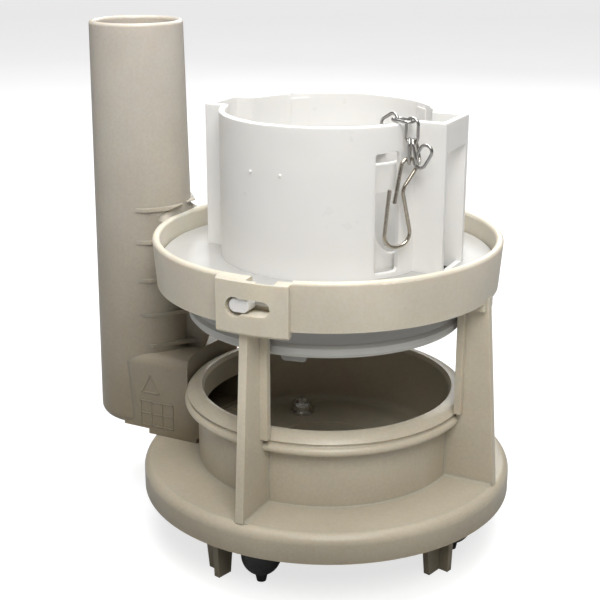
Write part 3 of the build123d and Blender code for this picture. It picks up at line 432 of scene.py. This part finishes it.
def moulding_coves():
    """Fillets where the cup and the legs grow out of the deck, and where the legs meet the cup."""
    builder = bmesh.new()
    deck_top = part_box("base_flange")[1].z
    deck_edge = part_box("base_flange")[1].x
    cup_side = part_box("seat_cup")[1].x - BEAD_TO_FILLET
    cove_ring(builder, cup_side, deck_top, CUP_FILLET)
    for angle in LEG_ANGLES:
        out = direction(angle)
        for side in (-1, 1):
            away = direction(angle + 90) * side
            root = away * LEG_HALF + UP * deck_top
            start = root + out * (cup_side + FILLET_START)
            end = root + out * (deck_edge + FILLET_PAST_DECK)
            cove_run(builder, start, end, away, UP, LEG_DECK_FILLET)
            foot = away * LEG_HALF + out * cup_side
            start = foot + UP * (deck_top + FILLET_START)
            end = foot + UP * LEG_FILLET_TOP
            cove_run(builder, start, end, away, out, LEG_CUP_FILLET)
    finish_piece("moulding_coves", builder, natural_body, "frame")


def raised_bar(builder, start, end, outward, bar):
    """Low bar with sloping sides moulded on a wall, from one point to another."""
    width, height = bar
    along = (end - start).normalized()
    across = along.cross(outward).normalized()
    edge = across * width / 2
    crest = across * width * BAR_TOP_HALF
    rows = []
    for point, push in ((start, -0.5), (end, 0.5)):
        tip = point + along * push * width
        top = tip - along * push * width * BAR_END_SLOPE + outward * height
        rows.append([
            builder.verts.new(tip - edge - outward * ROOT),
            builder.verts.new(tip - edge + outward * height * BAR_SHOULDER),
            builder.verts.new(top - crest),
            builder.verts.new(top + crest),
            builder.verts.new(tip + edge + outward * height * BAR_SHOULDER),
            builder.verts.new(tip + edge - outward * ROOT),
        ])
    count = len(rows[0])
    for i in range(count):
        j = (i + 1) % count
        builder.faces.new((rows[0][i], rows[0][j], rows[1][j], rows[1][i]))
    builder.faces.new(rows[0])
    builder.faces.new(list(reversed(rows[1])))


def duct_marks():
    """Plain raised triangle and an empty grid of boxes on the duct's front wall."""
    builder = bmesh.new()
    duct_low, duct_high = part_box("overflow_duct")
    outward = Vector((0, -1, 0))
    left = duct_high.x - MARKS_WIDTH * MM

    def spot(across, rise):
        return Vector((left + across * MM, duct_low.y, duct_low.z + rise * MM))

    for index, corner in enumerate(SIGN_CORNERS):
        following = SIGN_CORNERS[(index + 1) % len(SIGN_CORNERS)]
        raised_bar(builder, spot(*corner), spot(*following), outward, SIGN_BAR)
    grid_width = GRID_COLUMNS * CELL_WIDTH
    grid_top = GRID_FOOT + GRID_ROWS * CELL_HEIGHT
    for row in range(GRID_ROWS + 1):
        rise = GRID_FOOT + row * CELL_HEIGHT
        raised_bar(builder, spot(0, rise), spot(grid_width, rise), outward, GRID_BAR)
    for column in range(GRID_COLUMNS + 1):
        across = column * CELL_WIDTH
        raised_bar(builder, spot(across, GRID_FOOT), spot(across, grid_top), outward, GRID_BAR)
    finish_piece("duct_marks", builder, natural_pipe, "frame")


def stud_threads():
    """Screw thread on the ends of the studs that stand above their nuts."""
    builder = bmesh.new()
    stud_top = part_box("fixing_studs")[1].z
    nut_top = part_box("dome_nuts")[1].z
    turns = (stud_top - STUD_TIP - nut_top) / THREAD_PITCH
    half = THREAD_HALF * THREAD_PITCH
    section = ((-THREAD_ROOT, -half), (THREAD_DEPTH * 0.5, 0.0), (-THREAD_ROOT, half))
    for angle in STUD_ANGLES:
        centre = direction(angle) * STUD_CIRCLE
        rows = []
        for step in range(round(turns * THREAD_STEPS) + 1):
            out = direction(360 * step / THREAD_STEPS)
            rise = nut_top + THREAD_START + THREAD_PITCH * step / THREAD_STEPS
            row = []
            for reach, climb in section:
                row.append(builder.verts.new(centre + out * (STUD_RADIUS + reach) + UP * (rise + climb)))
            rows.append(row)
        for here, there in zip(rows, rows[1:]):
            for i in range(len(section)):
                j = (i + 1) % len(section)
                builder.faces.new((here[i], here[j], there[j], there[i]))
        builder.faces.new(rows[0])
        builder.faces.new(list(reversed(rows[-1])))
    finish_piece("stud_threads", builder, zinc, "frame")


def smooth_saddle():
    """Web between the pipe and the ring, whose top sinks from the pipe to the ring's lip in one curve."""
    builder = bmesh.new()
    saddle_low, saddle_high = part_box("ring_saddle")
    pipe_low, pipe_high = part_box("overflow_pipe")
    pipe_centre = (pipe_low.x + pipe_high.x) / 2
    ring_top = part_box("guide_ring")[1].z - LIP_DROP
    tops, feet = [], []
    for i in range(SADDLE_ACROSS + 1):
        share = 2 * i / SADDLE_ACROSS - 1
        inner = direction(math.degrees(PIPE_SPREAD * share)) * PIPE_REACH
        inner.x += pipe_centre
        turn = RING_SPREAD * share
        outer = Vector((-RING_REACH * math.cos(turn), RING_REACH * math.sin(turn), 0))
        hump = max(math.cos(math.radians(90) * share), 0.0) ** HUMP_POWER
        top_row, foot_row = [], []
        for k in range(SADDLE_ALONG + 1):
            step = k / SADDLE_ALONG
            point = inner.lerp(outer, step)
            ease = 0.5 + 0.5 * math.cos(math.pi * step)
            rise = ring_top + (saddle_high.z - ring_top) * hump * ease
            top_row.append(builder.verts.new((point.x, point.y, rise)))
            foot_row.append(builder.verts.new((point.x, point.y, saddle_low.z)))
        tops.append(top_row)
        feet.append(foot_row)
    for i in range(SADDLE_ACROSS):
        for k in range(SADDLE_ALONG):
            builder.faces.new((tops[i][k], tops[i][k + 1], tops[i + 1][k + 1], tops[i + 1][k]))
            builder.faces.new((feet[i][k], feet[i + 1][k], feet[i + 1][k + 1], feet[i][k + 1]))
        for k in (0, SADDLE_ALONG):
            builder.faces.new((tops[i][k], tops[i + 1][k], feet[i + 1][k], feet[i][k]))
    for i in (0, SADDLE_ACROSS):
        for k in range(SADDLE_ALONG):
            builder.faces.new((tops[i][k], tops[i][k + 1], feet[i][k + 1], feet[i][k]))
    piece = finish_piece("smooth_saddle", builder, natural_pipe, "frame")
    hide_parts("ring_saddle")


moulding_coves()
duct_marks()
stud_threads()
smooth_saddle()

# ---------------------------------------------------------------- floor, light and camera

cad_low, cad_high = cad_box
middle = (cad_low + cad_high) / 2

# The floor, in metres: flat, then a quarter bend up into an upright backdrop
FLOOR_FRONT = -3.0
FLOOR_BACK = 2.0
FLOOR_HALF_WIDTH = 4.0
FLOOR_BEND = 0.8
BACKDROP_TOP = 4.0
FLOOR_TURN = math.radians(27)
FLOOR_GLOW = 0.72

CAMERA_PLACE = (0.18815, -0.3912, 0.2131)
CAMERA_AIM = Vector((-0.4312, 0.8463, -0.3128))
LENS = 74.5
SENSOR_WIDTH = 36
WORLD_STRENGTH = 0.16


def floor():
    """Plain pale floor that curves up into a backdrop far behind."""
    mesh = bpy.data.meshes.new("floor")
    builder = bmesh.new()
    profile = [(FLOOR_FRONT, 0.0), (FLOOR_BACK, 0.0)]
    for angle in range(10, 91, 10):
        turn = math.radians(angle)
        back = FLOOR_BACK + FLOOR_BEND * math.sin(turn)
        profile.append((back, FLOOR_BEND - FLOOR_BEND * math.cos(turn)))
    profile.append((FLOOR_BACK + FLOOR_BEND, BACKDROP_TOP))
    rows = []
    for x in (-FLOOR_HALF_WIDTH, FLOOR_HALF_WIDTH):
        rows.append([builder.verts.new((x, y, cad_low.z + z)) for y, z in profile])
    for i in range(len(profile) - 1):
        builder.faces.new((rows[0][i], rows[1][i], rows[1][i + 1], rows[0][i + 1]))
    builder.to_mesh(mesh)
    for polygon in mesh.polygons:
        polygon.use_smooth = True
    piece = bpy.data.objects.new("floor", mesh)
    piece.rotation_euler.z = FLOOR_TURN
    scene.collection.objects.link(piece)
    s = Shader("pale_floor", Roughness=0.8, Specular_IOR_Level=0.15, Emission_Color=(1.0, 1.0, 1.0, 1.0))
    s.link(s.grey_ramp(s.noise(6, 2, 0.5), 0.36, 0.39), s.bsdf.inputs["Base Color"])
    # The floor looks white but throws little light up on the object
    seen = s.add("ShaderNodeMath", operation="MULTIPLY")
    s.link(s.add("ShaderNodeLightPath").outputs["Is Camera Ray"], seen.inputs[0])
    seen.inputs[1].default_value = FLOOR_GLOW
    s.link(seen.outputs["Value"], s.bsdf.inputs["Emission Strength"])
    mesh.materials.append(s.material)


def area_light(name, place, size, power, colour=(1, 1, 1)):
    """Soft rectangular light aimed at the middle of the object."""
    lamp = bpy.data.lights.new(name, "AREA")
    lamp.shape = "RECTANGLE"
    lamp.size, lamp.size_y = size
    lamp.energy = power
    lamp.color = colour
    item = bpy.data.objects.new(name, lamp)
    item.location = place
    item.rotation_euler = (middle - Vector(place)).to_track_quat("-Z", "Y").to_euler()
    scene.collection.objects.link(item)


floor()
area_light("key", (0.45, -0.70, 0.95), (0.6, 0.6), 10, (1.0, 0.99, 0.97))
area_light("fill", (-0.85, -0.55, 0.75), (0.9, 0.9), 0.8, (0.97, 0.985, 1.0))
area_light("top", (0.0, 0.0, 1.15), (0.9, 0.9), 13)
area_light("rim", (-0.2, 0.95, 0.6), (0.9, 0.5), 5)

world = bpy.data.worlds.new("studio")
world.use_nodes = True
world.node_tree.nodes["Background"].inputs["Color"].default_value = (1.0, 1.0, 1.0, 1)
world.node_tree.nodes["Background"].inputs["Strength"].default_value = WORLD_STRENGTH
scene.world = world
scene.view_settings.view_transform = "Standard"
scene.view_settings.look = "None"

camera_data = bpy.data.cameras.new("camera")
camera = bpy.data.objects.new("camera", camera_data)
scene.collection.objects.link(camera)
camera_data.lens = LENS
camera_data.sensor_width = SENSOR_WIDTH
camera_data.clip_start = 0.01
camera_data.clip_end = 20
camera.location = CAMERA_PLACE
camera.rotation_euler = CAMERA_AIM.to_track_quat("-Z", "Y").to_euler()
scene.camera = camera
